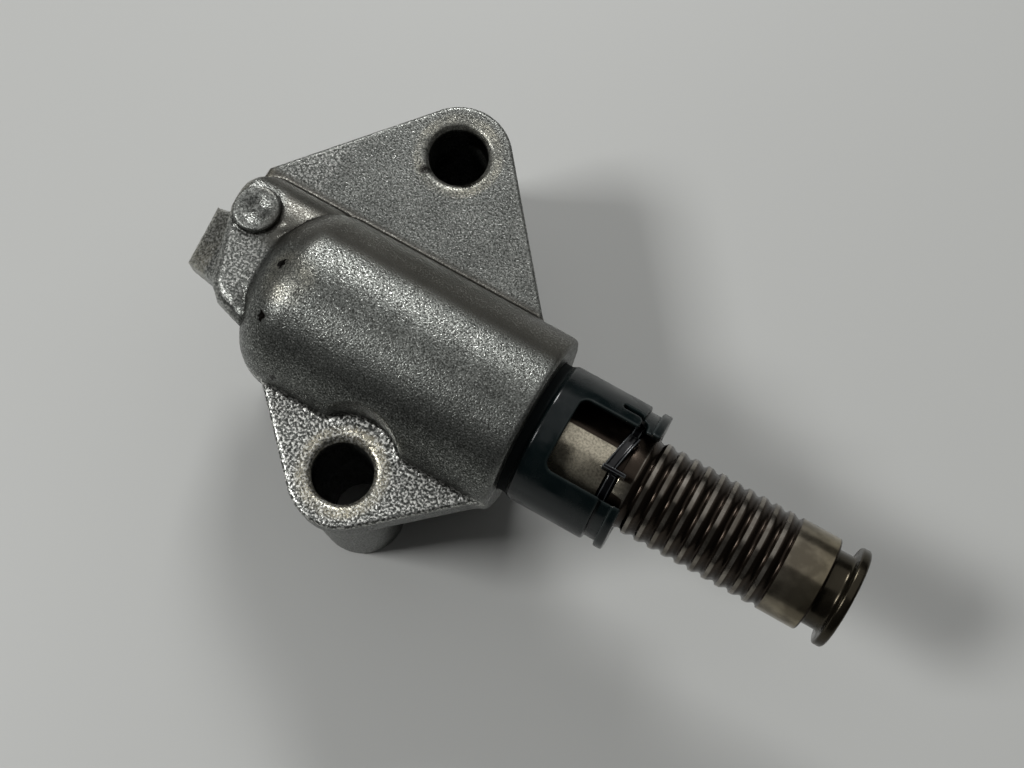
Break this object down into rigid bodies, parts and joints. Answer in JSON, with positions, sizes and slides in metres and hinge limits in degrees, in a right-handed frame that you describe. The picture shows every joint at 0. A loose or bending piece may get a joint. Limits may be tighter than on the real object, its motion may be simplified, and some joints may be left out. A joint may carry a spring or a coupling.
{
  "type": "timing chain tensioner",
  "caption": "Hydraulic ratchet chain tensioner: cast flanged housing, black retainer sleeve with a window, and a grooved plunger pushed out by a spring behind a check valve.",
  "frame": {"origin": "centre of the oil inlet's mouth on the mounting face", "axes": "+X the way the plunger moves out, +Y towards the upper bolt hole, +Z from the mounting face to the bolt heads"},
  "size_m": [0.0842, 0.0514, 0.0353],
  "materials": {
    "cast_aluminium": "die-cast, matt",
    "black_steel": "blackened, oily satin",
    "spring_black": "blackened spring steel",
    "plunger_steel": "ground, oil-varnished",
    "spring_steel": "drawn wire",
    "filler_plastic": "moulded",
    "valve_steel": "turned and pressed",
    "ball_steel": "polished"
  },
  "bodies": {
    "housing": {"housing": "cast_aluminium", "retainer_sleeve": "black_steel", "ratchet_ring": "spring_black", "valve_seat": "valve_steel", "valve_cage": "valve_steel", "plunger_spring": "spring_steel", "check_ball_spring": "spring_steel"},
    "plunger": {"plunger": "plunger_steel", "plunger_filler": "filler_plastic"},
    "check_ball": {"check_ball": "ball_steel"}
  },
  "joints": [
    {"name": "plunger_slide", "type": "slide", "parent": "housing", "child": "plunger", "axis": [1, 0, 0], "range_m": [-0.018, 0], "stiffness_N_per_m": 700, "springref_m": 0.02, "deforming": ["plunger_spring", "ratchet_ring"]},
    {"name": "check_ball_lift", "type": "slide", "parent": "housing", "child": "check_ball", "axis": [1, 0, 0], "range_m": [0, 0.0005], "stiffness_N_per_m": 300, "springref_m": -0.001, "deforming": ["check_ball_spring"]}
  ]
}
